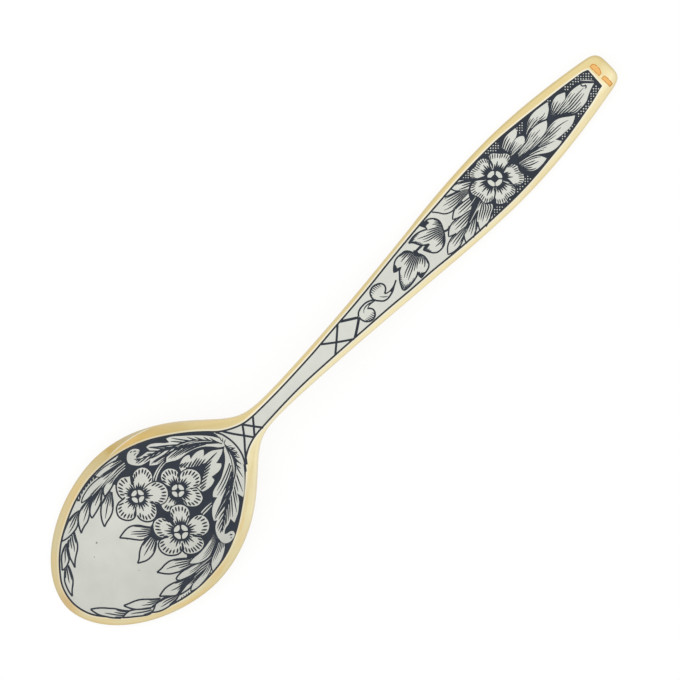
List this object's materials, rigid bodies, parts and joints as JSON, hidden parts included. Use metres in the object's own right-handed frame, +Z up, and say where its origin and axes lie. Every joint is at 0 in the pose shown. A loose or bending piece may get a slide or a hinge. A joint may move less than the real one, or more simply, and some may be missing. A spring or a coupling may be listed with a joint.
{
  "type": "spoon",
  "caption": "Silver teaspoon with an egg-shaped bowl and a flat tapering handle, gilt at the edges and front, its back inlaid with black floral niello.",
  "frame": {"origin": "on the table under the middle of the spoon's box, with the spoon lying on its front", "axes": "+X from the bowl's tip to the handle's end, +Y across the spoon, +Z up, out of its decorated back"},
  "size_m": [0.138, 0.0314, 0.0093],
  "materials": {
    "gilt_silver": "polished gilding over silver, with a satin silver panel on the back",
    "niello": "black niello, polished flush with the silver"
  },
  "bodies": {
    "root": {"spoon_blank": "gilt_silver", "border_line": "niello", "bowl_flower_upper": "niello", "bowl_flower_lower": "niello", "bowl_flower_middle": "niello", "bowl_ground": "niello", "bowl_leaf_veins": "niello", "bowl_arm_vein_upper": "niello", "bowl_arm_vein_lower": "niello", "bowl_spray_upper": "niello", "bowl_spray_lower": "niello", "bowl_leaf_pair": "niello", "heel_arc": "niello", "neck_lattice": "niello", "stem_lattice": "niello", "tendril_scroll": "niello", "ivy_leaf_lower": "niello", "ivy_leaf_upper": "niello", "handle_flower_lines": "niello", "handle_leaf_lower": "niello", "handle_leaf_upper": "niello", "handle_end_leaf": "niello", "handle_end_ground": "niello"}
  },
  "joints": []
}
